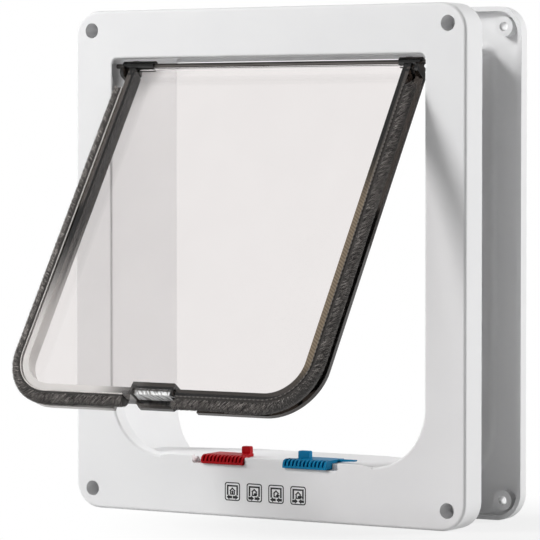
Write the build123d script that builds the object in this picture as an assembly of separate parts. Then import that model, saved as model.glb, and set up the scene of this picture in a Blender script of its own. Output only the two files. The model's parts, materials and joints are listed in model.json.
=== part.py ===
from build123d import *
import os

# A four-way locking cat flap for a door, in millimetres. X runs to the right as seen from
# the room, Y runs out through the door and Z runs up. The origin is the centre of the screw
# pattern, on the room side of the door. The flap stands part open into the room.

# Both frames
face_width = 250.0
face_height = 280.0
face_corner_r = 15.0
face_edge_r = 1.8
panel_wall = 2.5
rim_wall = 2.5
screw_inset = 11.0
door_thickness = 45.0

# Room-side frame
inner_depth = 18.0
aperture_width = 200.0
sill_height = 31.8
sill_ridge = 1.2
sill_ridge_half = 68.0
sill_ridge_taper = 8.0
sill_ridge_edge_r = 0.6
lintel_height = 27.0
aperture_bottom_r = 33.0
aperture_top_r = 3.0
aperture_edge_r = 1.5
collar_depth = 9.0
collar_wall = 2.2
ledge_wall = 2.0
sleeve_wall = 2.0
sleeve_reach = 10.0
rib_wall = 1.6
rib_setback = 2.0
rib_pitch = 65.0
head_bore_r = 4.25
head_bore_depth = 12.5
screw_hole_r = 2.25
screw_boss_r = 7.2

# Street-side frame
outer_depth = 8.0
tunnel_step = 2.0
tunnel_sink = 15.0
tunnel_bottom_r = 36.0
tunnel_wall = 2.5
tunnel_fit = 0.3
tunnel_root_r = 4.0
rear_chamfer = 1.5
outer_boss_r = 5.5
outer_hole_r = 2.5

# Hinge rod and its bearings
hinge_setback = 6.2
hinge_drop = 4.1
rod_r = 1.25
rod_bite = 3.5
rod_fit = 0.08
bearing_wall = 1.6
bearing_half_height = 6.1
bearing_relief = 0.6
knuckle_r = 2.7
left_knuckle_reach = 20.5
right_knuckle_reach = 13.5
ear_r = 3.3
ear_drop = 3.8
ear_wall = 2.2

# Flap moulding
flap_rest_angle = 33.4
lip_gap = 4.5
lip_sill_gap = 2.5
pile_land = 5.1
pile_land_bottom = 4.6
stiffener_width = 4.6
stiffener_front = 2.0
sheet_front = 5.3
sheet_wall = 2.5
sheet_drop = 4.0
header_drop = 3.0
header_front = 0.6
header_gap = 0.45
header_wall = 1.7
turn_relief = 2.0

# Magnet housing at the flap's bottom edge
housing_half_width = 13.9
housing_draft = 0.9
housing_rise = 7.4
housing_proud = 1.2
housing_front_wall = 2.2
housing_front_height = 3.8
housing_roof = 2.4
housing_cheek = 1.9
housing_foot = 3.4
magnet_height = 3.6
magnet_fit = 0.1

# Brush pile strips
pile_proud = 1.0
pile_drop = 16.0
pile_front = 1.2
pile_back_gap = 0.2
pile_seat_gap = 0.1
tape_wall = 0.5
pile_end_gap = 0.7

# Lock sliders and their seat in the sill
deck_wall = 2.2
deck_reach = 26.0
deck_mid_reach = 44.0
deck_mid_half = 42.0
deck_fit = 0.5
notch_start = 12.4
notch_length = 34.4
notch_depth = 3.1
notch_setback = 6.0
notch_corner_r = 1.2
block_wall = 2.4
slider_lift = 0.3
grip_length = 27.2
grip_end_gap = 0.45
grip_proud = 1.7
grip_lip = 1.2
grip_reach = 5.0
grip_rib_count = 12
grip_rib_width = 1.2
grip_rib_height = 0.7
plate_wall = 1.7
plate_reach = 18.4
tab_centre = 20.8
red_tab_width = 5.4
blue_tab_width = 7.2
tab_wall = 3.0
tab_gap = 0.6
tab_headroom = 1.0
tab_corner_r = 0.9
lip_notch_gap = 1.4
tongue_centre = 28.0
tongue_length = 10.0
tongue_wall = 3.0
tongue_setback = 11.5
tongue_fit = 0.3
foot_ledge = 1.2
foot_wall = 1.8
foot_gap = 0.3
tail_length = 10.0
tail_setback = 13.0
tail_depth = 2.4
tail_root = 1.5
tail_tip = 0.8

# Magnet under the sill
sill_magnet_length = 20.0
sill_magnet_depth = 7.0
sill_magnet_height = 3.6
sill_magnet_setback = 5.0
sill_skin = 1.4
cradle_wall = 1.5

# Heights and depths that follow from the sizes above
front_y = -inner_depth
ledge_back = front_y + collar_depth
ledge_front = ledge_back - ledge_wall
outer_lip_y = door_thickness
rear_y = door_thickness + outer_depth
tunnel_start = ledge_back + tunnel_fit
sleeve_inside = tunnel_wall + tunnel_fit
sleeve_outside = sleeve_inside + sleeve_wall
bottom_z = -face_height / 2
sill_z = bottom_z + sill_height
lintel_z = face_height / 2 - lintel_height
half_aperture = aperture_width / 2
hinge_y = front_y + hinge_setback
hinge_z = lintel_z - hinge_drop
hinge_axis = Axis((0, hinge_y, hinge_z), (1, 0, 0))
sill_drop = hinge_z - sill_z
lip_half = half_aperture - lip_gap
lip_drop = sill_drop - lip_sill_gap
lip_corner_r = aperture_bottom_r - lip_gap
stiffener_half = lip_half - pile_land
stiffener_drop = lip_drop - pile_land_bottom
stiffener_corner_r = lip_corner_r - pile_land
sheet_back = sheet_front + sheet_wall
housing_drop = stiffener_drop - housing_rise
magnet_drop = housing_drop + housing_roof
magnet_half = housing_half_width - housing_cheek
plate_bottom = sill_z + slider_lift
plate_top = plate_bottom + plate_wall
plate_back = front_y + plate_reach
grip_bottom = sill_z - notch_depth + slider_lift
grip_start = notch_start + grip_end_gap
lock_travel = notch_length - grip_length - 2 * grip_end_gap
tab_top = hinge_z - stiffener_drop - tab_headroom
lip_notch_end = tab_centre + blue_tab_width / 2 + lip_notch_gap
tape_end = tab_centre + blue_tab_width / 2 + lock_travel + pile_end_gap
sill_magnet_top = sill_z - sill_skin


def slab(profile, y_front, y_back):
    """An upright XZ profile carried along Y from y_front to y_back."""
    plane = Plane((0, y_back, 0), x_dir=(1, 0, 0), z_dir=(0, -1, 0))
    return extrude(plane * profile, amount=y_back - y_front)


def bar(x_range, y_range, z_range):
    """A rectangular bar between two values on each axis."""
    ranges = (x_range, y_range, z_range)
    size = [high - low for low, high in ranges]
    centre = [(low + high) / 2 for low, high in ranges]
    return Pos(*centre) * Box(*size)


def along_x(x_range, profile):
    """A YZ profile carried along X between two values."""
    start, end = x_range
    return extrude(Plane((start, 0, 0), x_dir=(0, 1, 0), z_dir=(1, 0, 0)) * profile, amount=end - start)


def rod_along_x(x_range, y, z, radius):
    """A round bar along X."""
    return along_x(x_range, Pos(y, z) * Circle(radius))


def face_outline(inset):
    """The frames' outline, drawn in by inset."""
    return RectangleRounded(face_width - 2 * inset, face_height - 2 * inset, face_corner_r - inset)


def arch(half_width, z_low, z_high, bottom_r, top_r):
    """An upright opening with large bottom corners and small top ones."""
    outline = Pos(0, (z_low + z_high) / 2) * Rectangle(2 * half_width, z_high - z_low)
    outline = fillet(outline.vertices().sort_by(Axis.Y)[:2], bottom_r)
    return fillet(outline.vertices().sort_by(Axis.Y)[-2:], top_r)


def opening(grow):
    """The pet way's outline, let out by grow."""
    return arch(
        half_aperture + grow,
        sill_z - grow,
        lintel_z + grow,
        aperture_bottom_r + grow,
        aperture_top_r + grow,
    )


def tunnel_opening(grow):
    """The tunnel's outline, let out by grow: it steps out from the pet way and runs deeper below."""
    return arch(
        half_aperture + tunnel_step + grow,
        sill_z - tunnel_sink - grow,
        lintel_z + tunnel_step + grow,
        tunnel_bottom_r + grow,
        aperture_top_r + grow,
    )


def at_screws(make):
    """One copy of a Y-wise solid at each of the four screw places."""
    spread_x = face_width / 2 - screw_inset
    spread_z = face_height / 2 - screw_inset
    return [Pos(x, 0, z) * make for x in (-spread_x, spread_x) for z in (-spread_z, spread_z)]


def front_edges(solid, inner):
    """The edges round the frontmost face, or round the hole in it."""
    face = solid.faces().sort_by(Axis.Y)[0]
    return face.inner_wires()[0].edges() if inner else face.outer_wire().edges()


def stiffening_ribs():
    """Upright and level ribs in the room-side frame's hollow, from its rim to the sleeve."""
    reach = max(face_width, face_height) / 2
    depth = (front_y + panel_wall, -rib_setback)
    ribs = []
    for place in (-rib_pitch, 0, rib_pitch):
        across = (place - rib_wall / 2, place + rib_wall / 2)
        ribs.append(bar(across, depth, (-reach, reach)))
        ribs.append(bar((-reach, reach), depth, across))
    between = slab(face_outline(rim_wall / 2) - tunnel_opening(sleeve_outside), front_y, 0)
    return [rib & between for rib in ribs]


def sill_deck():
    """The shelf behind the sill, which reaches furthest into the tunnel behind the locks."""
    corners = [
        (-half_aperture, ledge_front),
        (half_aperture, ledge_front),
        (half_aperture, deck_reach),
        (deck_mid_half, deck_mid_reach),
        (-deck_mid_half, deck_mid_reach),
        (-half_aperture, deck_reach),
    ]
    plan = make_face(Polyline(*corners, close=True))
    shelf = extrude(Plane.XY.offset(sill_z - deck_wall) * plan, amount=deck_wall)
    return shelf & slab(tunnel_opening(-deck_fit), ledge_front, deck_mid_reach)


def sill_ridge_bar():
    """The low ridge along the sill's front edge, with tapered ends."""
    top = sill_z + sill_ridge
    corners = [
        (-sill_ridge_half, sill_z - panel_wall),
        (sill_ridge_half, sill_z - panel_wall),
        (sill_ridge_half, sill_z),
        (sill_ridge_half - sill_ridge_taper, top),
        (-sill_ridge_half + sill_ridge_taper, top),
        (-sill_ridge_half, sill_z),
    ]
    ridge = slab(make_face(Polyline(*corners, close=True)), front_y, front_y + panel_wall)
    crest = ridge.faces().sort_by(Axis.Z)[-1].edges().filter_by(Axis.X)
    return fillet(crest, sill_ridge_edge_r)


def lock_seat():
    """The sill's deck and ridge with the sliders' block in front and the magnet's cradle below."""
    block_half = notch_start + notch_length + block_wall
    block = bar(
        (-block_half, block_half),
        (front_y + panel_wall / 2, front_y + notch_setback + block_wall),
        (sill_z - notch_depth - block_wall, sill_z),
    )
    cradle_half = sill_magnet_length / 2 + cradle_wall
    cradle_front = front_y + sill_magnet_setback - cradle_wall
    cradle = bar(
        (-cradle_half, cradle_half),
        (cradle_front, cradle_front + sill_magnet_depth + 2 * cradle_wall),
        (sill_magnet_top - sill_magnet_height, sill_z),
    )
    return sill_deck() + sill_ridge_bar() + block + cradle


def lock_cuts():
    """The grips' notches in the face, the tongues' slots in the deck and the magnet's pocket."""
    notch = Pos(notch_start + notch_length / 2, sill_z) * Rectangle(notch_length, 2 * notch_depth)
    notch = fillet(notch.vertices().sort_by(Axis.Y)[:2], notch_corner_r)
    notch = slab(notch, front_y - face_edge_r, front_y + notch_setback)
    slot_start = tongue_centre - tongue_length / 2 - grip_end_gap
    slot = bar(
        (slot_start, slot_start + tongue_length + lock_travel + 2 * grip_end_gap),
        (front_y + tongue_setback - tongue_fit, front_y + tongue_setback + tongue_wall + tongue_fit),
        (sill_z - 2 * deck_wall, sill_z + deck_wall),
    )
    right = [notch, slot]
    left = [mirror(cut, about=Plane.YZ) for cut in right]
    magnet_half_length = sill_magnet_length / 2 + magnet_fit
    magnet_front = front_y + sill_magnet_setback - magnet_fit
    pocket = bar(
        (-magnet_half_length, magnet_half_length),
        (magnet_front, magnet_front + sill_magnet_depth + 2 * magnet_fit),
        (sill_z - tunnel_sink, sill_magnet_top),
    )
    return left + right + [pocket]


def inner_frame():
    """Room-side frame: hollow face, collar round the pet way and the sleeve that takes the tunnel."""
    shell = slab(face_outline(0), front_y, 0)
    shell = fillet(front_edges(shell, inner=False), face_edge_r)
    shell -= slab(face_outline(rim_wall), front_y + panel_wall, 0)
    shell += slab(opening(collar_wall), front_y + panel_wall / 2, ledge_back)
    shell += slab(tunnel_opening(sleeve_outside), ledge_front, sleeve_reach)
    shell -= slab(tunnel_opening(sleeve_inside), ledge_back, sleeve_reach)
    shell -= slab(opening(0), front_y, ledge_back)
    shell = fillet(front_edges(shell, inner=True), aperture_edge_r)
    shell += stiffening_ribs()
    shell += lock_seat()
    boss = slab(Circle(screw_boss_r), front_y + panel_wall / 2, 0)
    shell += at_screws(boss)
    bearing = bar(
        (half_aperture + collar_wall / 2, half_aperture + rod_bite + bearing_wall),
        (hinge_y - rod_r - 2 * bearing_wall, ledge_back),
        (hinge_z - bearing_half_height, hinge_z + bearing_half_height - bearing_wall),
    )
    shell += [bearing, mirror(bearing, about=Plane.YZ)]
    relief = half_aperture + bearing_relief
    relief_height = (hinge_z - bearing_half_height, hinge_z + rod_r)
    shell -= bar((-relief, relief), (front_y, ledge_back), relief_height)
    rod_half = half_aperture + rod_bite + rod_fit
    shell -= rod_along_x((-rod_half, rod_half), hinge_y, hinge_z, rod_r + rod_fit)
    shell -= at_screws(slab(Circle(head_bore_r), front_y, front_y + head_bore_depth))
    shell -= at_screws(slab(Circle(screw_hole_r), front_y, 0))
    shell -= lock_cuts()
    return shell


def outer_frame():
    """Street-side frame: shallow flange with the tunnel that lines the hole through the door."""
    flange = slab(face_outline(0), outer_lip_y, rear_y)
    flange = chamfer(flange.faces().sort_by(Axis.Y)[-1].edges(), rear_chamfer)
    panel_y = rear_y - panel_wall
    flange -= slab(face_outline(rim_wall), outer_lip_y, panel_y)
    flange += at_screws(slab(Circle(outer_boss_r), outer_lip_y, rear_y - panel_wall / 2))
    flange += slab(tunnel_opening(tunnel_wall), tunnel_start, rear_y - panel_wall / 2)
    panel = flange.faces().filter_by(Axis.Y).sort_by(lambda face: abs(face.center().Y - panel_y))[0]
    root = max(panel.inner_wires(), key=lambda wire: wire.length)
    flange = fillet(root.edges(), tunnel_root_r)
    flange -= slab(tunnel_opening(0), tunnel_start, rear_y)
    mouth = flange.faces().sort_by(Axis.Y)[-1].inner_wires()[0].edges()
    flange = chamfer(mouth, rear_chamfer)
    flange -= at_screws(slab(Circle(outer_hole_r), outer_lip_y, rear_y))
    return flange


def flap_arch(half_width, top_drop, bottom_drop, bottom_r, top_r):
    """An arch on the closed flap, with its ends measured down from the hinge."""
    return arch(half_width, hinge_z - bottom_drop, hinge_z - top_drop, bottom_r, top_r)


def flap_slab(profile, front, back):
    """A profile on the closed flap, between two depths behind the hinge axis."""
    return slab(profile, hinge_y + front, hinge_y + back)


def flap_bar(x_range, drop_range, depth_range):
    """A bar on the closed flap, by drop below and depth behind the hinge axis."""
    y_range = [hinge_y + depth for depth in depth_range]
    z_range = [hinge_z - drop for drop in reversed(drop_range)]
    return bar(x_range, y_range, z_range)


def opened(solid):
    """Turns a piece of the closed flap to its part-open place."""
    return solid.rotate(hinge_axis, -flap_rest_angle)


def stiffener():
    """The forward U-shaped rib inside the pile's land, cut back where it turns under the lintel."""
    top = -knuckle_r + rod_r / 2
    inner_half = stiffener_half - stiffener_width
    inner_drop = stiffener_drop - stiffener_width
    outer = flap_arch(stiffener_half, top, stiffener_drop, stiffener_corner_r, rod_r)
    inner = flap_arch(inner_half, 2 * top, inner_drop, stiffener_corner_r - stiffener_width, rod_r)
    depth = (-stiffener_front, sheet_front)
    relief = [
        (hinge_y + knuckle_r, hinge_z - top),
        (hinge_y + sheet_front, hinge_z - top),
        (hinge_y + sheet_front, hinge_z - turn_relief),
    ]
    wedge = along_x((-stiffener_half, stiffener_half), make_face(Polyline(*relief, close=True)))
    return flap_slab(outer, *depth) - flap_slab(inner, *depth) - wedge


def magnet_housing():
    """The forward block at the bottom edge whose open pocket holds the magnet bar."""
    top, bottom = hinge_z - housing_drop, hinge_z - stiffener_drop
    corners = [
        (-housing_half_width, bottom),
        (housing_half_width, bottom),
        (housing_half_width - housing_draft, top),
        (-housing_half_width + housing_draft, top),
    ]
    front = -stiffener_front - housing_proud
    body = flap_slab(make_face(Polyline(*corners, close=True)), front, sheet_front)
    pocket_front = front + housing_front_wall
    reach = (magnet_drop, lip_drop)
    body -= flap_bar((-magnet_half, magnet_half), reach, (pocket_front, sheet_front))
    window = (housing_drop + housing_front_height, lip_drop)
    body -= flap_bar((-magnet_half, magnet_half), window, (front - housing_proud, pocket_front))
    return body


def magnet_foot():
    """The chamfered foot that the sheet keeps below the magnet, between the lock notches."""
    top, bottom = hinge_z - stiffener_drop + housing_foot, hinge_z - stiffener_drop - housing_foot
    corners = [
        (-housing_half_width, top),
        (-housing_half_width, top - housing_foot),
        (-housing_half_width + housing_foot, bottom),
        (housing_half_width - housing_foot, bottom),
        (housing_half_width, top - housing_foot),
        (housing_half_width, top),
    ]
    return flap_slab(make_face(Polyline(*corners, close=True)), sheet_front, sheet_back)


def hinge_end(knuckle_reach):
    """The right-hand knuckle on the rod with its rounded ear."""
    ear_range = (lip_half - ear_wall, lip_half)
    end = rod_along_x((lip_half - knuckle_reach, lip_half), hinge_y, hinge_z, knuckle_r)
    end += rod_along_x(ear_range, hinge_y, hinge_z - ear_drop, ear_r)
    end += flap_bar(ear_range, (ear_drop - knuckle_r, ear_drop + ear_r), (0, sheet_front))
    return end


def header():
    """The sheet's top edge, which leans forward to end just under the rod."""
    under_rod = hinge_z - rod_r - header_gap
    sheet_top = hinge_z - sheet_drop
    corners = [
        (hinge_y - header_front, under_rod),
        (hinge_y + header_front, under_rod),
        (hinge_y + sheet_back, sheet_top),
        (hinge_y + sheet_back, sheet_top - header_drop),
        (hinge_y + sheet_front, sheet_top - header_drop),
        (hinge_y + sheet_front, sheet_top - header_wall),
        (hinge_y - header_front, under_rod - header_wall),
    ]
    return along_x((-lip_half, lip_half), make_face(Polyline(*corners, close=True)))


def flap_panel():
    """Smoked clear moulding: sheet with a lip all round, stiffener, knuckles and magnet housing."""
    outline = flap_arch(lip_half, sheet_drop, lip_drop, lip_corner_r, aperture_top_r)
    sheet = flap_slab(outline, sheet_front, sheet_back)
    notch_reach = (stiffener_drop, lip_drop)
    sheet -= flap_bar((-lip_notch_end, lip_notch_end), notch_reach, (sheet_front, sheet_back))
    panel = sheet + magnet_foot() + stiffener()
    housing_reach = (housing_drop, lip_drop)
    panel -= flap_bar((-magnet_half, magnet_half), housing_reach, (-stiffener_front, sheet_front))
    panel += magnet_housing()
    panel += header()
    panel += [hinge_end(right_knuckle_reach), mirror(hinge_end(left_knuckle_reach), about=Plane.YZ)]
    panel -= rod_along_x((-half_aperture, half_aperture), hinge_y, hinge_z, rod_r + rod_fit)
    return opened(panel)


def pile_strips():
    """The two brush strips on the flap's edge, glued round the stiffener and ending at the locks."""
    seat_half = stiffener_half + pile_seat_gap
    seat_drop = stiffener_drop + pile_seat_gap
    outer = flap_arch(lip_half + pile_proud, pile_drop, lip_drop, lip_corner_r + pile_proud, pile_front)
    seat = flap_arch(seat_half, 0, seat_drop, stiffener_corner_r + pile_seat_gap, pile_front)
    depth = (-pile_front, sheet_front - pile_back_gap)
    strip = flap_slab(outer, *depth) - flap_slab(seat, *depth)
    left_end = lip_notch_end + pile_end_gap
    right_end = housing_half_width + pile_end_gap
    left = strip - flap_bar((-left_end, half_aperture), (0, sill_drop), depth)
    right = strip - flap_bar((-half_aperture, right_end), (0, sill_drop), depth)
    right -= flap_bar((0, tape_end), (seat_drop + tape_wall, sill_drop), depth)
    return opened(left), opened(right)


def flap_magnet():
    """The bar magnet in the flap's housing."""
    half_length = magnet_half - magnet_fit
    front = -stiffener_front - housing_proud + housing_front_wall + magnet_fit
    drops = (magnet_drop + magnet_fit, magnet_drop + magnet_fit + magnet_height)
    return opened(flap_bar((-half_length, half_length), drops, (front, sheet_front - magnet_fit)))


def hinge_rod():
    """The steel rod, held at both ends in the room-side frame."""
    rod_half = half_aperture + rod_bite
    return rod_along_x((-rod_half, rod_half), hinge_y, hinge_z, rod_r)


def sill_magnet():
    """The bar magnet under the sill that draws the flap shut."""
    half_length = sill_magnet_length / 2
    magnet_front = front_y + sill_magnet_setback
    return bar(
        (-half_length, half_length),
        (magnet_front, magnet_front + sill_magnet_depth),
        (sill_magnet_top - sill_magnet_height, sill_magnet_top),
    )


def grip_outline():
    """The thumb grip in side view: upright front, then a quarter round up to a flat top."""
    front = front_y - grip_proud
    back = front_y + notch_setback - slider_lift
    low = grip_bottom + grip_lip
    shoulder = front + plate_top - low
    corners = [
        (shoulder, plate_top),
        (back, plate_top),
        (back, grip_bottom),
        (front, grip_bottom),
        (front, low),
    ]
    edges = Polyline(*corners) + TangentArc((front, low), (shoulder, plate_top), tangent=(0, 1))
    return make_face(edges)


def groove_outline():
    """A groove between two grip ribs in side view: its floor slopes straight up to the plate."""
    front = front_y - grip_proud
    low = grip_bottom + grip_lip
    corners = [
        (front + grip_rib_height, low),
        (front_y + grip_reach, plate_top - grip_rib_height),
        (front_y + grip_reach, plate_top),
        (front, plate_top),
        (front, low),
    ]
    return make_face(Polyline(*corners, close=True))


def lock_slider(tab_front, tab_width, has_tail):
    """A sliding lock on the right of the sill, open: ribbed grip, plate, stop tab and tongue."""
    grip_range = (grip_start, grip_start + grip_length)
    slider = along_x(grip_range, grip_outline())
    pitch = (grip_length - grip_rib_width) / (grip_rib_count - 1)
    for rib in range(1, grip_rib_count):
        groove_end = grip_start + rib * pitch
        groove_start = groove_end - pitch + grip_rib_width
        slider -= along_x((groove_start, groove_end), groove_outline())
    plate_range = (tab_centre - tab_width / 2, grip_range[1])
    slider += bar(plate_range, (front_y + grip_reach, plate_back), (plate_bottom, plate_top))
    tab = Pos(tab_centre, (plate_bottom + tab_top) / 2) * Rectangle(tab_width, tab_top - plate_bottom)
    tab = fillet(tab.vertices().sort_by(Axis.Y)[-2:], tab_corner_r)
    slider += slab(tab, tab_front, tab_front + tab_wall)
    tongue_range = (tongue_centre - tongue_length / 2, tongue_centre + tongue_length / 2)
    tongue_front = front_y + tongue_setback
    foot_top = sill_z - deck_wall - foot_gap
    foot_bottom = foot_top - foot_wall
    slider += bar(tongue_range, (tongue_front, tongue_front + tongue_wall), (foot_bottom, plate_top))
    foot_depth = (tongue_front - foot_ledge, tongue_front + tongue_wall + foot_ledge)
    slider += bar(tongue_range, foot_depth, (foot_bottom, foot_top))
    if has_tail:
        slider += spring_tail(grip_range[1])
    return slider


def spring_tail(start):
    """The thin tapered spring arm that runs on from the plate's outer end."""
    tip = start + tail_length
    corners = [
        (start - tail_root, plate_top),
        (start - tail_root, plate_top - tail_root),
        (tip, plate_top - tail_tip),
        (tip, plate_top),
    ]
    tail_front = front_y + tail_setback
    return slab(make_face(Polyline(*corners, close=True)), tail_front, tail_front + tail_depth)


def red_lock_slider():
    """The left-hand lock, whose tab stands behind the flap's lip and stops it swinging out."""
    tab_front = hinge_y + sheet_back + tab_gap
    return mirror(lock_slider(tab_front, red_tab_width, has_tail=False), about=Plane.YZ)


def blue_lock_slider():
    """The right-hand lock, whose tab stands before the flap's lip and stops it swinging in."""
    tab_front = hinge_y + sheet_front - tab_gap - tab_wall
    return lock_slider(tab_front, blue_tab_width, has_tail=True)


left_strip, right_strip = pile_strips()
pieces = {
    "inner_frame": inner_frame(),
    "outer_frame": outer_frame(),
    "hinge_rod": hinge_rod(),
    "flap_panel": flap_panel(),
    "left_pile_strip": left_strip,
    "right_pile_strip": right_strip,
    "flap_magnet": flap_magnet(),
    "sill_magnet": sill_magnet(),
    "red_lock_slider": red_lock_slider(),
    "blue_lock_slider": blue_lock_slider(),
}

os.makedirs("parts", exist_ok=True)
for name, piece in pieces.items():
    export_step(piece, f"parts/{name}.step")
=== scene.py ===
import json
import math

import bpy
import numpy as np
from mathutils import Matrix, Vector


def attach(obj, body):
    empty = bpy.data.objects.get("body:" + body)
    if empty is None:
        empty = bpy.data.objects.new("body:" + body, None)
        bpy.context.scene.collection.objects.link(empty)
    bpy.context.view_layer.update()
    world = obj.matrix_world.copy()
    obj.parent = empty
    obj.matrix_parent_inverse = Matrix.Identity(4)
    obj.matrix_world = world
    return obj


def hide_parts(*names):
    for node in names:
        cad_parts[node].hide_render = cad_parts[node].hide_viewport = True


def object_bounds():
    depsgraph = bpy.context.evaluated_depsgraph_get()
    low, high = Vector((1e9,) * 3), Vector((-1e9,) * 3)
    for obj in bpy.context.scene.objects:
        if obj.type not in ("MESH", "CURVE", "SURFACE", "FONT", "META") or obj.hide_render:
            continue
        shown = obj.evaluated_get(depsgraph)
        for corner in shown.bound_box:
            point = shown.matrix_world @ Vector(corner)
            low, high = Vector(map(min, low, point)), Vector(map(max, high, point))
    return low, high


# A four-way cat flap, as photographed from the room side with its flap part open.
# Lengths are in millimetres until they become mesh points or sockets, which are in metres.

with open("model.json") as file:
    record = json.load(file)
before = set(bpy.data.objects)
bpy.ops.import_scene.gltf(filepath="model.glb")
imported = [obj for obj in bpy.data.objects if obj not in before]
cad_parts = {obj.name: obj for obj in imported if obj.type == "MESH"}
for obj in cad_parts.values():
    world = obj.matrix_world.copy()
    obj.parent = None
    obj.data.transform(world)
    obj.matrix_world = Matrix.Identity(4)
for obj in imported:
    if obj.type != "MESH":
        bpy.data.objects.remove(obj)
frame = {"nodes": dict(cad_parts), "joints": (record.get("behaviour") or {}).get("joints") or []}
cad_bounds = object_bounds()

MM = 0.001
rng = np.random.default_rng(20)

# The camera, fitted to the corners of both frames in the photograph
CAMERA_PLACE = (956.1, -1556.5, 63.4)
CAMERA_TURN = 0.5542
CAMERA_PITCH = 0.0369
CAMERA_LENS = 221.3
SENSOR = 36.0

# The flap's own axes: u across, v down from the hinge, n behind the hinge
HINGE = np.array(next(j["pos_m"] for j in frame["joints"] if j["name"] == "flap_swing")) / MM
FLAP_ANGLE = math.radians(33.4)
FLAP_DOWN = np.array([0, -math.sin(FLAP_ANGLE), -math.cos(FLAP_ANGLE)])
FLAP_BACK = np.array([0, math.cos(FLAP_ANGLE), -math.sin(FLAP_ANGLE)])

# The brush pile's tape runs round the flap's stiffener, with a gap at the magnet
TAPE_HALF = 90.5
TAPE_DROP = 210.1
TAPE_CORNER = 23.5
TAPE_TOP = 16.0
LEFT_END = -17.5
RIGHT_END = 14.6

# The pile's section: its roots, its heights, and its leans to the front as shares
PILE_FRONT = -2.5
PILE_BACK = 4.9
LEFT_HEIGHT = 8.4
RIGHT_HEIGHT = 7.0
LOW_HEIGHT = 6.2
LOCK_HEIGHT = 5.4
LOCK_REACH = 48.0
LOCK_EASE = 4.0
SIDE_LEAN = 0.5
LOW_LEAN = 0.12
ROUNDNESS = 0.75
CORE_SHARE = 0.9
CORE_STEP = 1.0
SECTION_POINTS = 19
STRIPS = (("left", -1, LEFT_END, LEFT_HEIGHT), ("right", 1, RIGHT_END, RIGHT_HEIGHT))

# The pile's fibres, with turns in radians round the section from its front root
FIBRE_COUNT = 24000
FIBRE_R = 0.14
ROOT_TURN = (0.12, 1.45)
FIBRE_TURN = (0.3, 0.8)
FRONT_SHARE = 0.7
TIP_OFF = (0.3, 1.0)
SLANT = 0.7
SLANT_SPREAD = 0.3
PICK_STEP = 0.25
TUFT = 1.1

# The pile's tones, from 0 for its dark shade to 1 for its pale one
CORE_TONE = 0.03
TUFT_TONE = (0.75, 1.2)
# Rare pale fibres: partly lighter fibres, partly painted glints
PALE_RARITY = 3
# Painted shade: the tone falls from the front root towards the back, and each root is darker
FRONT_TONE = 1.4
BACK_SHADE_FALL = 0.7
ROOT_SHADE_SHARE = 0.5
EDGE_TONE = 0.11
STITCH_TONE = 0.09

# The tape's woven edge
EDGE_STEP = 0.22
EDGE_POINTS = 8
EDGE_R = 0.4
EDGE_SWELL = 0.12
EDGE_DEPTH = -2.6
EDGE_RISE = -0.3
STITCH = 1.3

# The flap's sheet inside its stiffener, and how squarely a front or back face looks along n
SHEET_FRONT = 5.3
SHEET_HALF = 86.0
SHEET_DROP = 206.0
HEADER_HALF = 75.0
HEADER_DROP = 7.2
KNUCKLE_R = 2.9
DEPTH_SLACK = 0.1
SQUARE_ON = 0.9

# Where painted reflection makes the flap's ribs pale at the lower left and taupe down the right: an
# axis, and where a smooth step starts and ends
ACROSS, UP = 0, 2
PAINTED_REFLECTION_LOW_LEFT = ((ACROSS, 0.0, -40.0), (UP, 30.0, -40.0))
PAINTED_REFLECTION_RIGHT = ((ACROSS, 70.0, 80.0), (UP, -60.0, -45.0), (UP, 70.0, 30.0))

# Sizes of the surface patterns. The grain, threads and ink spots are coarser than real ones, to show
ABS_CLOUD = 25.0
ABS_GRAIN = 0.625
GRAIN_DEPTH = 0.1
FLOW_MARK = 33.333
BAND_PITCH = 1.882
TAPE_THREAD = 1.1111
WIRE_LENGTH = 33.333
WIRE_WIDTH = 0.4
MARK_LENGTH = 6.7
MARK_WIDTH = 1.0
MARK_SLANT = 0.8
LOCK_CLOUD = 4.5455
INK_SPOT = 0.66667

# A Mix node's sockets by place: two shades and their blend, then two numbers
SHADE_A, SHADE_B, BLEND = 6, 7, 2
NUMBER_A, NUMBER_B = 2, 3

# A diagonal Wave pattern turns this many radians for each unit of X + Y + Z
WAVE_RATE = 10.0

# The pictograms on the face below the sill
FACE_Y = -18.0
SIGN_HEIGHT = -125.9
SIGN_PLACES = (-20.4, -6.2, 7.8, 21.9)
INK_PROUD = 0.06
CORNER_POINTS = 6

# The small lip along the roof at the tunnel's street end
ROOF = 115.0
LIP_HALF = 102.1
LIP_HEIGHT = 2.5
LIP_BACK = 52.8
LIP_DEPTH = 2.0
LIP_SINK = 0.2

# The studio, in metres: its floor, where shadows on it fade to white, and its even light
FLOOR_REACH = 8.0
FADE_X, FADE_Y = 0.08, 0.0
FADE_START = 0.06
FADE_END = 0.18
NEAR_WHITE = 0.79
AMBIENT = 0.07
WORLD_IN_GLOSS = 0.5


def from_flap(u, v, n):
    """Part-frame metres of a place on the flap: down goes with (-sin, -cos) of the flap's
    angle in Y and Z, and back goes with (cos, -sin)."""
    sine, cosine = math.sin(FLAP_ANGLE), math.cos(FLAP_ANGLE)
    u, v, n = np.broadcast_arrays(u, v, n)
    y = HINGE[1] - v * sine + n * cosine
    z = HINGE[2] - v * cosine - n * sine
    return np.stack([u, y, z], axis=-1) * MM


def linear(code):
    """Linear RGBA of an sRGB hex code, by the standard sRGB curve."""
    parts = np.array([int(code[k:k + 2], 16) for k in (1, 3, 5)]) / 255
    curve = np.where(parts <= 0.04045, parts / 12.92, ((parts + 0.055) / 1.055) ** 2.4)
    return (*curve.tolist(), 1.0)


def noise_scale(size):
    """The noise scale that gives marks of a size in millimetres: one mark for each such length."""
    return 1 / (size * MM)


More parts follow.
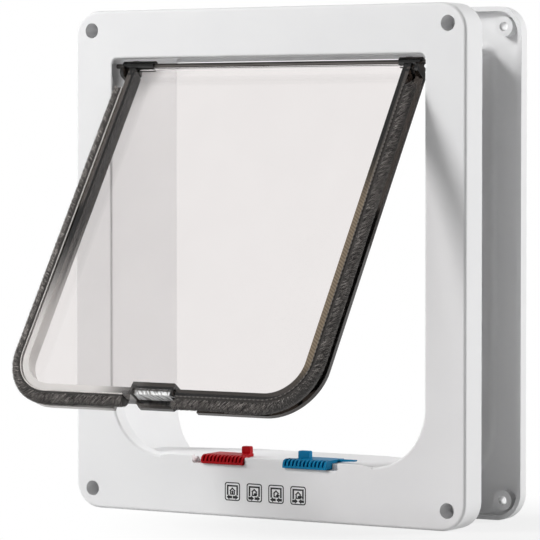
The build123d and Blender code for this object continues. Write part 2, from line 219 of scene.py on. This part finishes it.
def add_node(tree, kind, inputs=None, **settings):
    """Adds a node, sets its settings, and sets or links each named input."""
    node = tree.nodes.new(kind)
    for key, value in settings.items():
        setattr(node, key, value)
    for key, value in (inputs or {}).items():
        if isinstance(value, bpy.types.NodeSocket):
            tree.links.new(value, node.inputs[key])
        else:
            node.inputs[key].default_value = value
    return node


def new_material(name):
    """An empty material and its node tree."""
    made = bpy.data.materials.new(name)
    made.use_nodes = True
    made.node_tree.nodes.clear()
    return made, made.node_tree


def finish_material(tree, shader, inside=None):
    """Joins a shader node, and any node for what fills the piece, to the material's output."""
    ends = {"Surface": shader.outputs[0]}
    if inside:
        ends["Volume"] = inside.outputs[0]
    add_node(tree, "ShaderNodeOutputMaterial", ends)


def new_object(name, points, faces, material, smooth):
    """A mesh object at the origin, from points in metres."""
    mesh = bpy.data.meshes.new(name)
    mesh.from_pydata(points.reshape(-1, 3).tolist(), [], faces)
    mesh.polygons.foreach_set("use_smooth", np.full(len(mesh.polygons), smooth))
    mesh.materials.append(material)
    made = bpy.data.objects.new(name, mesh)
    bpy.context.scene.collection.objects.link(made)
    return made


def add_piece(name, points, faces, material, body, smooth=True):
    """A mesh object that rides on a CAD body."""
    made = new_object(name, points, faces, material, smooth)
    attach(made, body)
    return made


# Materials

def moulded_abs():
    """White ABS with a fine spark-eroded grain: nearly even colour, satin gloss."""
    made, tree = new_material("white_abs")
    place = add_node(tree, "ShaderNodeTexCoord").outputs["Object"]
    cloud = add_node(
        tree,
        "ShaderNodeTexNoise",
        {"Vector": place, "Scale": noise_scale(ABS_CLOUD), "Detail": 3.0},
    )
    grain = add_node(
        tree,
        "ShaderNodeTexNoise",
        {"Vector": place, "Scale": noise_scale(ABS_GRAIN), "Detail": 2.0},
    )
    colour = add_node(
        tree,
        "ShaderNodeMix",
        {0: cloud.outputs[0], SHADE_A: linear("#e6e6e7"), SHADE_B: linear("#eaeaea")},
        data_type="RGBA",
    )
    gloss = add_node(
        tree, "ShaderNodeMapRange", {0: cloud.outputs[0], "To Min": 0.36, "To Max": 0.46}
    )
    bump = add_node(
        tree,
        "ShaderNodeBump",
        {"Strength": 0.12, "Distance": GRAIN_DEPTH * MM, "Height": grain.outputs[0]},
    )
    shader = add_node(
        tree,
        "ShaderNodeBsdfPrincipled",
        {
            "Base Color": colour.outputs[BLEND],
            "Roughness": gloss.outputs[0],
            "IOR": 1.5,
            "Normal": bump.outputs[0],
        },
    )
    finish_material(tree, shader)
    return made


def smoked_clear(name, tint, cast):
    """Clear polycarbonate with a warm smoke, polished. The tint function adds nodes and gives the
    sockets for its colour and clearness. Lamps shine through it and take the cast colour."""
    made, tree = new_material(name)
    place = add_node(tree, "ShaderNodeTexCoord").outputs["Object"]
    flow = add_node(
        tree,
        "ShaderNodeTexNoise",
        {"Vector": place, "Scale": noise_scale(FLOW_MARK), "Detail": 2.0},
    )
    gloss = add_node(
        tree, "ShaderNodeMapRange", {0: flow.outputs[0], "To Min": 0.01, "To Max": 0.04}
    )
    colour, clearness = tint(tree, place, flow.outputs[0])
    shader = add_node(
        tree,
        "ShaderNodeBsdfPrincipled",
        {
            "Base Color": colour,
            "Roughness": gloss.outputs[0],
            "IOR": 1.585,
            "Transmission Weight": clearness,
        },
    )
    path = add_node(tree, "ShaderNodeLightPath")
    veil = add_node(tree, "ShaderNodeBsdfTransparent", {"Color": linear(cast)})
    through = add_node(
        tree,
        "ShaderNodeMixShader",
        {0: path.outputs["Is Shadow Ray"], 1: shader.outputs[0], 2: veil.outputs[0]},
    )
    smoke = add_node(
        tree, "ShaderNodeVolumeAbsorption", {"Color": linear("#4a3f3a"), "Density": 12.0}
    )
    finish_material(tree, through, smoke)
    return made


def sheet_tint(tree, place, flow):
    """The thin sheet: almost no colour, with faint flow marks."""
    shades = {0: flow, SHADE_A: linear("#efebea"), SHADE_B: linear("#f4f0ef")}
    return add_node(tree, "ShaderNodeMix", shades, data_type="RGBA").outputs[BLEND], 1.0


def area_share(tree, place, steps):
    """A share that is 1 in one area: the product of smooth steps, each from 0 to 1 between two
    places along an axis."""
    parts = add_node(tree, "ShaderNodeSeparateXYZ", {0: place})
    share = 1.0
    for axis, start, end in steps:
        ends = {0: parts.outputs[axis], "From Min": start * MM, "From Max": end * MM}
        step = add_node(tree, "ShaderNodeMapRange", ends, interpolation_type="SMOOTHSTEP")
        both = {0: share, 1: step.outputs[0]}
        share = add_node(tree, "ShaderNodeMath", both, operation="MULTIPLY").outputs[0]
    return share


def side_tint(tree, place, flow):
    """The walls of the ribs, the knuckles and the edges: deep smoke, with a painted reflection at
    the lower left that makes them pale and less clear."""
    # Painted reflection: pale and partly matt at the lower left instead of smoked
    pale = area_share(tree, place, PAINTED_REFLECTION_LOW_LEFT)
    shades = {0: pale, SHADE_A: linear("#2b2521"), SHADE_B: linear("#e6e2df")}
    colour = add_node(tree, "ShaderNodeMix", shades, data_type="RGBA")
    clearness = add_node(tree, "ShaderNodeMapRange", {0: pale, "To Min": 1.0, "To Max": 0.2})
    return colour.outputs[BLEND], clearness.outputs[0]


def front_tint(tree, place, flow):
    """The ribs' fronts: as the walls, but part way down the right side a painted reflection makes
    the rib a nearly matt taupe, with fine bands across it."""
    # Painted reflection down the right side: a nearly matt taupe band with fine stripes across it
    taupe = area_share(tree, place, PAINTED_REFLECTION_RIGHT)
    smoke, clearness = side_tint(tree, place, flow)
    band_sum = BAND_PITCH * MM * abs(FLAP_DOWN.sum())
    bands = add_node(
        tree,
        "ShaderNodeTexWave",
        {"Vector": place, "Scale": 2 * math.pi / (WAVE_RATE * band_sum)},
        bands_direction="DIAGONAL",
    )
    threads = {0: bands.outputs["Fac"], SHADE_A: linear("#6a5c4c"), SHADE_B: linear("#8f7f69")}
    painted_reflection_bands = add_node(tree, "ShaderNodeMix", threads, data_type="RGBA")
    shades = {0: taupe, SHADE_A: smoke, SHADE_B: painted_reflection_bands.outputs[BLEND]}
    colour = add_node(tree, "ShaderNodeMix", shades, data_type="RGBA")
    dull = add_node(tree, "ShaderNodeMix", {0: taupe, NUMBER_A: clearness, NUMBER_B: 0.15})
    return colour.outputs[BLEND], dull.outputs[0]


def pile_fibre():
    """Dark grey polypropylene pile, slightly shiny, each fibre a little lighter or darker, with
    painted shade and painted glints carried in its tone.
    """
    made, tree = new_material("brush_pile")
    tone = add_node(tree, "ShaderNodeAttribute", attribute_name="tone")
    colour = add_node(
        tree,
        "ShaderNodeMix",
        {0: tone.outputs["Fac"], SHADE_A: linear("#14110f"), SHADE_B: linear("#e6ded8")},
        data_type="RGBA",
    )
    shader = add_node(
        tree,
        "ShaderNodeBsdfPrincipled",
        {"Base Color": colour.outputs[BLEND], "Roughness": 0.55, "Sheen Weight": 0.1},
    )
    finish_material(tree, shader)
    return made


def woven_tape():
    """White woven polyester tape: matt, with a fleck of shade from thread to thread."""
    made, tree = new_material("woven_tape")
    place = add_node(tree, "ShaderNodeTexCoord").outputs["Object"]
    weave = add_node(
        tree,
        "ShaderNodeTexNoise",
        {"Vector": place, "Scale": noise_scale(TAPE_THREAD), "Detail": 2.0},
    )
    colour = add_node(
        tree,
        "ShaderNodeMix",
        {0: weave.outputs[0], SHADE_A: linear("#b9b2ad"), SHADE_B: linear("#f2efec")},
        data_type="RGBA",
    )
    shader = add_node(
        tree, "ShaderNodeBsdfPrincipled", {"Base Color": colour.outputs[BLEND], "Roughness": 0.7}
    )
    finish_material(tree, shader)
    return made


def drawn_steel():
    """Bright drawn steel wire with fine lines along its length."""
    made, tree = new_material("hinge_steel")
    long, wide = WIRE_LENGTH * MM, WIRE_WIDTH * MM
    place = add_node(tree, "ShaderNodeTexCoord").outputs["Object"]
    along = add_node(
        tree,
        "ShaderNodeMapping",
        {"Vector": place, "Scale": (long, wide, wide)},
        vector_type="TEXTURE",
    )
    lines = add_node(tree, "ShaderNodeTexNoise", {"Vector": along.outputs[0], "Scale": 1.0})
    gloss = add_node(
        tree, "ShaderNodeMapRange", {0: lines.outputs[0], "To Min": 0.25, "To Max": 0.4}
    )
    colour = add_node(
        tree,
        "ShaderNodeMix",
        {0: lines.outputs[0], SHADE_A: linear("#4b4846"), SHADE_B: linear("#7d7975")},
        data_type="RGBA",
    )
    shader = add_node(
        tree,
        "ShaderNodeBsdfPrincipled",
        {"Base Color": colour.outputs[BLEND], "Metallic": 1.0, "Roughness": gloss.outputs[0]},
    )
    finish_material(tree, shader)
    return made


def plating_with_painted_sheen():
    """Nickel plating on a magnet: silver grey, with diagonal grinding marks. Its shine is painted,
    as a light colour up to white with little metalness.
    """
    made, tree = new_material("bar_magnet")
    long, wide = MARK_LENGTH * MM, MARK_WIDTH * MM
    place = add_node(tree, "ShaderNodeTexCoord").outputs["Object"]
    slant = add_node(
        tree,
        "ShaderNodeMapping",
        {"Vector": place, "Rotation": (0.0, MARK_SLANT, 0.0), "Scale": (long, long, wide)},
        vector_type="TEXTURE",
    )
    marks = add_node(tree, "ShaderNodeTexNoise", {"Vector": slant.outputs[0], "Scale": 1.0})
    share = add_node(
        tree, "ShaderNodeMapRange", {0: marks.outputs[0], "From Min": 0.38, "From Max": 0.54}
    )
    # Painted sheen: a light grey to white colour with low metalness stands in for the plating's
    # reflection
    colour = add_node(
        tree,
        "ShaderNodeMix",
        {0: share.outputs[0], SHADE_A: linear("#a5a3a2"), SHADE_B: linear("#ffffff")},
        data_type="RGBA",
    )
    shader = add_node(
        tree,
        "ShaderNodeBsdfPrincipled",
        {"Base Color": colour.outputs[BLEND], "Metallic": 0.1, "Roughness": 0.4},
    )
    finish_material(tree, shader)
    return made


def coloured_abs(name, shade, light):
    """Coloured ABS for a lock slider, satin, with slight flow clouds."""
    made, tree = new_material(name)
    place = add_node(tree, "ShaderNodeTexCoord").outputs["Object"]
    cloud = add_node(
        tree,
        "ShaderNodeTexNoise",
        {"Vector": place, "Scale": noise_scale(LOCK_CLOUD), "Detail": 3.0},
    )
    colour = add_node(
        tree,
        "ShaderNodeMix",
        {0: cloud.outputs[0], SHADE_A: linear(shade), SHADE_B: linear(light)},
        data_type="RGBA",
    )
    gloss = add_node(
        tree, "ShaderNodeMapRange", {0: cloud.outputs[0], "To Min": 0.28, "To Max": 0.4}
    )
    shader = add_node(
        tree,
        "ShaderNodeBsdfPrincipled",
        {
            "Base Color": colour.outputs[BLEND],
            "Roughness": gloss.outputs[0],
            "Specular IOR Level": 0.15,
        },
    )
    finish_material(tree, shader)
    return made


def printed_ink():
    """Dark grey pad-printing ink, slightly uneven."""
    made, tree = new_material("printed_ink")
    place = add_node(tree, "ShaderNodeTexCoord").outputs["Object"]
    spots = add_node(
        tree, "ShaderNodeTexNoise", {"Vector": place, "Scale": noise_scale(INK_SPOT)}
    )
    colour = add_node(
        tree,
        "ShaderNodeMix",
        {0: spots.outputs[0], SHADE_A: linear("#101011"), SHADE_B: linear("#2a2a2b")},
        data_type="RGBA",
    )
    shader = add_node(
        tree, "ShaderNodeBsdfPrincipled", {"Base Color": colour.outputs[BLEND], "Roughness": 0.5}
    )
    finish_material(tree, shader)
    return made


# Brush pile

def tape_path(side, end, step):
    """Places along the tape from its top end round the corner to its inner end, with the
    outward direction at each: a straight side, a quarter circle and a straight bottom."""
    straight = TAPE_DROP - TAPE_CORNER - TAPE_TOP
    bend = TAPE_CORNER * math.pi / 2
    low = TAPE_HALF - TAPE_CORNER - abs(end)
    s = np.arange(0, straight + bend + low, step)
    angle = np.clip((s - straight) / TAPE_CORNER, 0, math.pi / 2)
    out_u, out_v = np.cos(angle), np.sin(angle)
    u = TAPE_HALF - TAPE_CORNER + TAPE_CORNER * out_u - np.maximum(s - straight - bend, 0)
    v = TAPE_TOP + np.minimum(s, straight) + TAPE_CORNER * out_v
    return side * u, v, side * out_u, out_v


def pile_section(turn, u, out_v, side_height):
    """Height and depth of the pile's rounded section at an angle from its front root to its back
    root: depth goes as the cosine, height as a power of the sine less a lean to the front. It is
    lower where it passes the locks."""
    near_locks = np.clip((LOCK_REACH - np.abs(u)) / LOCK_EASE, 0, 1)
    low = LOW_HEIGHT + (LOCK_HEIGHT - LOW_HEIGHT) * near_locks
    tall = side_height + (low - side_height) * out_v
    lean = SIDE_LEAN + (LOW_LEAN - SIDE_LEAN) * out_v
    depth = (PILE_FRONT + PILE_BACK) / 2 - (PILE_BACK - PILE_FRONT) / 2 * np.cos(turn)
    height = tall * np.sin(turn) ** ROUNDNESS * (1 - lean * (1 - np.cos(turn)) / 2)
    return height, depth


def swept_faces(rows, cols):
    """Faces of a closed tube of rows by cols points, with flat ends: each wall face joins two
    neighbours in a row to the same two in the next row."""
    here = np.arange(rows * cols).reshape(rows, cols)
    after = np.roll(here, -1, axis=1)
    walls = np.stack([here[:-1], after[:-1], after[1:], here[1:]], axis=-1)
    return [*walls.reshape(-1, 4).tolist(), here[0, ::-1].tolist(), here[-1].tolist()]


def pile_core(side, end, side_height):
    """The dense body of the pile: its section, drawn in a little, carried along the tape. The
    last face of each step round it is the back of the tape."""
    u, v, out_u, out_v = (values[:, None] for values in tape_path(side, end, CORE_STEP))
    turn = np.linspace(0, math.pi, SECTION_POINTS)
    height, depth = pile_section(turn, u, out_v, side_height)
    lift = CORE_SHARE * height
    points = from_flap(u + out_u * lift, v + out_v * lift, depth)
    return points, swept_faces(*points.shape[:2])


def pile_fibres(side, end, side_height):
    """Tapered three-sided fibres that lie up the pile's front and back and stand a little off it,
    combed aslant, with seeded place, length and tone. Each tuft has a tone of its own too, and a
    fibre's tone is a power of a random share, so that few are pale: partly lighter fibres and partly
    painted glints. Painted shade darkens the tone from the front root towards the back and at the
    roots."""
    u, v, out_u, out_v = tape_path(side, end, PICK_STEP)
    pick = rng.integers(0, len(u), FIBRE_COUNT)
    u, v, out_u, out_v = u[pick], v[pick], out_u[pick], out_v[pick]
    start = rng.uniform(*ROOT_TURN, FIBRE_COUNT)
    finish = start + rng.uniform(*FIBRE_TURN, FIBRE_COUNT)
    behind = rng.uniform(0, 1, FIBRE_COUNT) > FRONT_SHARE
    ends = []
    for turn, off in ((start, 0.0), (finish, rng.uniform(*TIP_OFF, FIBRE_COUNT))):
        turn = np.where(behind, math.pi - turn, turn)
        height, depth = pile_section(np.clip(turn, 0, math.pi), u, out_v, side_height)
        lift = CORE_SHARE * height + off * np.sin(turn)
        depth = depth - off * np.cos(turn)
        ends.append(np.stack([u + out_u * lift, v + out_v * lift, depth], axis=-1))
    root, tip = ends
    combing = SLANT * rng.normal(1, SLANT_SPREAD, FIBRE_COUNT)
    comb = combing * np.linalg.norm(tip - root, axis=1)
    tip[:, 0] -= comb * out_v
    tip[:, 1] -= comb * np.abs(out_u)
    aim = tip - root
    aim /= np.linalg.norm(aim, axis=1, keepdims=True)
    across = np.cross(aim, rng.normal(0, 1, (FIBRE_COUNT, 3)))
    across /= np.linalg.norm(across, axis=1, keepdims=True)
    other = np.cross(aim, across)
    third = 2 * math.pi / 3
    arms = [math.cos(turn) * across + math.sin(turn) * other for turn in (0, third, 2 * third)]
    places = np.stack([*(root + FIBRE_R * arm for arm in arms), tip], axis=1)
    points = from_flap(places[..., 0], places[..., 1], places[..., 2])
    first = np.arange(FIBRE_COUNT)[:, None] * places.shape[1]
    faces = np.concatenate([first + k for k in ((0, 1, 3), (1, 2, 3), (2, 0, 3), (2, 1, 0))])
    tuft = rng.uniform(*TUFT_TONE, len(tape_path(side, end, TUFT)[0]) + 1)
    tuft = tuft[(pick * PICK_STEP / TUFT).astype(int)]
    # Painted glints in the rare pale fibres, and painted shade towards the back and at the roots
    shine = rng.uniform(0, 1, FIBRE_COUNT) ** PALE_RARITY
    tone = tuft * shine * (FRONT_TONE - BACK_SHADE_FALL * start)
    shades = np.outer(tone, (ROOT_SHADE_SHARE, ROOT_SHADE_SHARE, ROOT_SHADE_SHARE, 1.0))
    return points, faces.tolist(), shades.ravel()


def give_tone(obj, tone):
    """Stores a shade on each point of a piece for its material."""
    layer = obj.data.attributes.new("tone", "FLOAT", "POINT")
    layer.data.foreach_set("value", np.asarray(tone, np.float32))


def selvedge(side, end):
    """The tape's woven edge: a thin tube beside the pile's front whose radius swells in a sine
    wave for each stitch, and whose tone changes in a wave for each two."""
    u, v, out_u, out_v = (values[:, None] for values in tape_path(side, end, EDGE_STEP))
    stitches = np.arange(len(u)) * EDGE_STEP / STITCH
    radius = EDGE_R + EDGE_SWELL * np.sin(2 * math.pi * stitches)[:, None]
    turn = np.linspace(0, 2 * math.pi, EDGE_POINTS, endpoint=False)
    rise = EDGE_RISE + radius * np.cos(turn)
    depth = EDGE_DEPTH + radius * np.sin(turn)
    points = from_flap(u + out_u * rise, v + out_v * rise, depth)
    tone = EDGE_TONE + STITCH_TONE * np.sin(math.pi * stitches)
    return points, swept_faces(*points.shape[:2]), np.repeat(tone, EDGE_POINTS)


fibre = pile_fibre()
tape = woven_tape()
for name, side, end, side_height in STRIPS:
    points, faces = pile_core(side, end, side_height)
    core = add_piece(f"{name}_pile_core", points, faces, fibre, "flap")
    core.data.materials.append(tape)
    slots = np.zeros(len(faces), np.int32)
    slots[SECTION_POINTS - 1:-2:SECTION_POINTS] = 1
    core.data.polygons.foreach_set("material_index", slots)
    give_tone(core, np.full(len(core.data.vertices), CORE_TONE))

    points, faces, tone = pile_fibres(side, end, side_height)
    brush = add_piece(f"{name}_pile_fibres", points, faces, fibre, "flap", smooth=False)
    give_tone(brush, tone)

    # The left edge shows the white weave, and the right one the dark stitches
    points, faces, tone = selvedge(side, end)
    edge = add_piece(f"{name}_selvedge", points, faces, tape if side < 0 else fibre, "flap")
    give_tone(edge, tone)

    for piece in (core, brush, edge):
        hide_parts(f"{name}_pile_strip")


# Pictograms printed on the face

def rounded_square(half_width, half_height, radius):
    """Corners of a rounded rectangle: four quarter circles."""
    quarter = np.linspace(0, math.pi / 2, CORNER_POINTS)
    points = []
    for k, (side, rise) in enumerate(((1, 1), (-1, 1), (-1, -1), (1, -1))):
        turn = quarter + k * math.pi / 2
        x = side * (half_width - radius) + radius * np.cos(turn)
        z = rise * (half_height - radius) + radius * np.sin(turn)
        points.append(np.stack([x, z], axis=-1))
    return np.concatenate(points)


def arrow(x, z, length, turn):
    """A block arrow of a given length, centred on a place and turned from pointing right."""
    shape = np.array([(-1, -0.4), (0, -0.4), (0, -0.8), (1, 0), (0, 0.8), (0, 0.4), (-1, 0.4)])
    cosine, sine = math.cos(turn), math.sin(turn)
    return shape @ np.array([[cosine, sine], [-sine, cosine]]) * length / 2 + np.array([x, z])


def ink_block(outline, hole, first):
    """A thin closed block of ink on the face: an outline, or the ring between it and a hole with
    as many corners. Both go round against the clock, and faces count from first."""
    loops = [outline] if hole is None else [outline, hole]
    count = len(outline)
    points = []
    for loop in loops:
        for y in (FACE_Y - INK_PROUD, FACE_Y + INK_PROUD):
            points.append(np.stack([loop[:, 0], np.full(count, y), loop[:, 1]], axis=-1))
    here = np.arange(count)
    after = np.roll(here, -1)

    def band(low, high):
        return np.stack([low + here, low + after, high + after, high + here], axis=-1).tolist()

    front, back = first, first + count
    if hole is None:
        faces = [(front + here).tolist(), (back + here[::-1]).tolist(), *band(back, front)]
    else:
        hole_front, hole_back = first + 2 * count, first + 3 * count
        faces = band(front, hole_front) + band(hole_front, hole_back)
        faces += band(hole_back, back) + band(back, front)
    return np.concatenate(points), faces


def sign_shapes(number):
    """The outlines in one pictogram: border, doorway, house, its arrow and the two lock arrows."""
    right, up, left = 0, math.pi / 2, math.pi
    border = (rounded_square(4.95, 5.1, 1.5), rounded_square(4.35, 4.5, 1.1))
    doorway = np.array([
        (-3.6, -2.0), (-2.6, -2.0), (-2.6, 2.7), (2.6, 2.7),
        (2.6, -2.0), (3.6, -2.0), (3.6, 3.6), (-3.6, 3.6),
    ])
    house = np.array([
        (0, 2.3), (-2.1, 0.4), (-1.6, 0.4), (-1.6, -1.8),
        (1.6, -1.8), (1.6, 0.4), (2.1, 0.4),
    ])
    room = np.array([
        (0, 1.3), (-0.95, 0.4), (-0.85, 0.2), (-0.85, -1.1),
        (0.85, -1.1), (0.85, 0.2), (0.95, 0.4),
    ])
    house_arrows = (
        (0, -0.4, 2.2, up),
        (0.9, -0.7, 2.4, right),
        (1.0, -0.7, 2.4, left),
        (1.3, -0.7, 3.0, right),
    )
    lock_turns = ((left, right), (right, right), (left, left), (right, left))
    lock_places, lock_height, lock_length = (-2.0, 2.0), -3.1, 3.6
    shapes = [border, (doorway, None), (house, room), (arrow(*house_arrows[number]), None)]
    for x, turn in zip(lock_places, lock_turns[number]):
        shapes.append((arrow(x, lock_height, lock_length, turn), None))
    return shapes


ink_points, ink_faces, ink_count = [], [], 0
for number, place in enumerate(SIGN_PLACES):
    shift = np.array([place, SIGN_HEIGHT])
    for outline, hole in sign_shapes(number):
        moved = None if hole is None else hole + shift
        points, faces = ink_block(outline + shift, moved, ink_count)
        ink_points.append(points * MM)
        ink_faces += faces
        ink_count += len(points)
signs = np.concatenate(ink_points)
add_piece("lock_signs", signs, ink_faces, printed_ink(), "frame", smooth=False)


# The tunnel's roof lip

def roof_lip():
    """A bar across the tunnel, sunk a little into it: its corners are every mix of its low and
    high ends."""
    low = (-LIP_HALF, LIP_BACK - LIP_DEPTH, ROOF - LIP_HEIGHT)
    high = (LIP_HALF, LIP_BACK, ROOF + LIP_SINK)
    mix = np.indices((2, 2, 2)).reshape(3, -1).T
    points = np.where(mix == 1, high, low) * MM
    ends = [(0, 1, 3, 2), (4, 6, 7, 5)]
    sides = [(0, 4, 5, 1), (2, 3, 7, 6), (0, 2, 6, 4), (1, 5, 7, 3)]
    return points, ends + sides


white = moulded_abs()
points, faces = roof_lip()
add_piece("tunnel_roof_lip", points, faces, white, "frame", smooth=False)


# Pieces that keep their CAD shape
looks = {
    "inner_frame": white,
    "outer_frame": white,
    "hinge_rod": drawn_steel(),
    "flap_magnet": plating_with_painted_sheen(),
    "red_lock_slider": coloured_abs("red_abs", "#8c060e", "#ae0c16"),
    "blue_lock_slider": coloured_abs("blue_abs", "#0a6288", "#107dab"),
}
looks["sill_magnet"] = looks["flap_magnet"]
for name, look in looks.items():
    frame["nodes"][name].data.materials.clear()
    frame["nodes"][name].data.materials.append(look)


# The flap is one moulding: its sheet is thin and clear, the rest is thick and dark

def panel_slots(faces):
    """A material slot for each face of the flap by its place and facing: 0 for the sheet and the
    header, 1 for the ribs' fronts, 2 for their walls, the knuckles and all of the edge lip, which
    lies outside the tape's rounded path."""
    centres = np.empty(3 * len(faces), np.float32)
    normals = np.empty(3 * len(faces), np.float32)
    faces.foreach_get("center", centres)
    faces.foreach_get("normal", normals)
    places = centres.reshape(-1, 3).astype(float) / MM - HINGE
    across, drop, depth = np.abs(places[:, 0]), places @ FLAP_DOWN, places @ FLAP_BACK
    facing = normals.reshape(-1, 3).astype(float) @ FLAP_BACK
    front, rear = facing < -SQUARE_ON, facing > SQUARE_ON
    beside = np.maximum(across - TAPE_HALF + TAPE_CORNER, 0)
    below = np.maximum(drop - TAPE_DROP + TAPE_CORNER, 0)
    lip = np.hypot(beside, below) > TAPE_CORNER
    knuckle = (across > HEADER_HALF) & (np.hypot(drop, depth) < KNUCKLE_R)
    header = (across < SHEET_HALF) & (drop < HEADER_DROP) & ~knuckle
    inside = (across < SHEET_HALF) & (drop < SHEET_DROP) & (depth > SHEET_FRONT - DEPTH_SLACK)
    sheet = header | (rear & ~lip) | (front & inside)
    return np.where(sheet, 0, np.where(front & ~lip, 1, 2)).astype(np.int32)


panel = frame["nodes"]["flap_panel"].data
panel.materials.clear()
panel.materials.append(smoked_clear("smoked_sheet", sheet_tint, "#fdfcfc"))
panel.materials.append(smoked_clear("smoked_front", front_tint, "#e8e5e2"))
panel.materials.append(smoked_clear("smoked_side", side_tint, "#e8e5e2"))
panel.polygons.foreach_set("material_index", panel_slots(panel.polygons))


# Stage

def lens_view(tree, mirror_share):
    """A socket that is 1 where the lens looks straight or through clear plastic, a share where it
    looks by a mirror reflection, and 0 for light that has met a matt surface."""
    path = add_node(tree, "ShaderNodeLightPath")
    no_matt = add_node(
        tree, "ShaderNodeMath", {0: path.outputs["Diffuse Depth"], 1: 0.5}, operation="LESS_THAN"
    )
    mirror = add_node(
        tree,
        "ShaderNodeMath",
        {0: path.outputs["Is Glossy Ray"], 1: mirror_share},
        operation="MULTIPLY",
    )
    view = mirror.outputs[0]
    for ray in ("Is Camera Ray", "Is Transmission Ray"):
        larger = {0: view, 1: path.outputs[ray]}
        view = add_node(tree, "ShaderNodeMath", larger, operation="MAXIMUM").outputs[0]
    kept = {0: view, 1: no_matt.outputs[0]}
    return add_node(tree, "ShaderNodeMath", kept, operation="MULTIPLY").outputs[0]


def studio_floor(height):
    """Pale matt floor with soft shadows near the object, which fade to plain white further off."""
    made, tree = new_material("studio_floor")
    place = add_node(tree, "ShaderNodeTexCoord").outputs["Object"]
    middle = (FADE_X, FADE_Y, height)
    distance = add_node(tree, "ShaderNodeVectorMath", {0: place, 1: middle}, operation="DISTANCE")
    away = add_node(
        tree,
        "ShaderNodeMapRange",
        {
            0: distance.outputs["Value"],
            "From Min": FADE_START,
            "From Max": FADE_END,
            "To Min": NEAR_WHITE,
        },
        interpolation_type="SMOOTHSTEP",
    )
    share = add_node(
        tree, "ShaderNodeMath", {0: lens_view(tree, 1.0), 1: away.outputs[0]}, operation="MULTIPLY"
    )
    paint = add_node(tree, "ShaderNodeBsdfDiffuse", {"Color": linear("#c4c4c4")})
    glow = add_node(tree, "ShaderNodeEmission", {"Color": linear("#ffffff"), "Strength": 1.0})
    shader = add_node(
        tree, "ShaderNodeMixShader", {0: share.outputs[0], 1: paint.outputs[0], 2: glow.outputs[0]}
    )
    finish_material(tree, shader)
    return made


def studio_world():
    """Soft even light, and plain white where the lens looks past the object."""
    world = bpy.data.worlds.new("studio")
    bpy.context.scene.world = world
    world.use_nodes = True
    tree = world.node_tree
    tree.nodes.clear()
    bright = add_node(
        tree,
        "ShaderNodeMath",
        {0: lens_view(tree, WORLD_IN_GLOSS), 1: AMBIENT},
        operation="MAXIMUM",
    )
    glow = add_node(
        tree,
        "ShaderNodeBackground",
        {"Color": linear("#ffffff"), "Strength": bright.outputs[0]},
    )
    add_node(tree, "ShaderNodeOutputWorld", {"Surface": glow.outputs[0]})


def softbox(name, place, size, power, mirrored=True):
    """A square area lamp aimed at the origin, in metres and watts, which gloss mirrors or not.
    Its light passes clear plastic as shadow rays, so it is kept from being counted again in the
    plastic's own bending of light."""
    lamp = bpy.data.lights.new(name, "AREA")
    lamp.size = size
    lamp.energy = power
    made = bpy.data.objects.new(name, lamp)
    bpy.context.scene.collection.objects.link(made)
    made.location = place
    made.visible_transmission = False
    made.visible_glossy = mirrored
    x, y, z = place
    made.rotation_euler = (math.atan2(math.hypot(x, y), z), 0, math.atan2(-y, -x) - math.pi / 2)


floor_z = cad_bounds[0][2]
corners = FLOOR_REACH * np.array([(-1, -1, 0), (1, -1, 0), (1, 1, 0), (-1, 1, 0)])
corners += (0, 0, floor_z)
floor = new_object("floor", corners, [(0, 1, 2, 3)], studio_floor(floor_z), smooth=False)
studio_world()
softbox("key", place=(-1.45, -1.45, 1.22), size=0.77, power=52, mirrored=False)
softbox("rim", place=(1.5, 1.55, 0.75), size=0.7, power=55, mirrored=False)
softbox("fill", place=(-0.3, -2.6, 0.8), size=0.8, power=10)
softbox("top", place=(0.2, -0.3, 2.4), size=2.0, power=3)

camera_data = bpy.data.cameras.new("camera")
camera_data.lens = CAMERA_LENS
camera_data.sensor_width = SENSOR
camera = bpy.data.objects.new("camera", camera_data)
bpy.context.scene.collection.objects.link(camera)
camera.location = [value * MM for value in CAMERA_PLACE]
camera.rotation_euler = (math.pi / 2 - CAMERA_PITCH, 0, CAMERA_TURN)
bpy.context.scene.camera = camera
bpy.context.scene.view_settings.view_transform = "Standard"
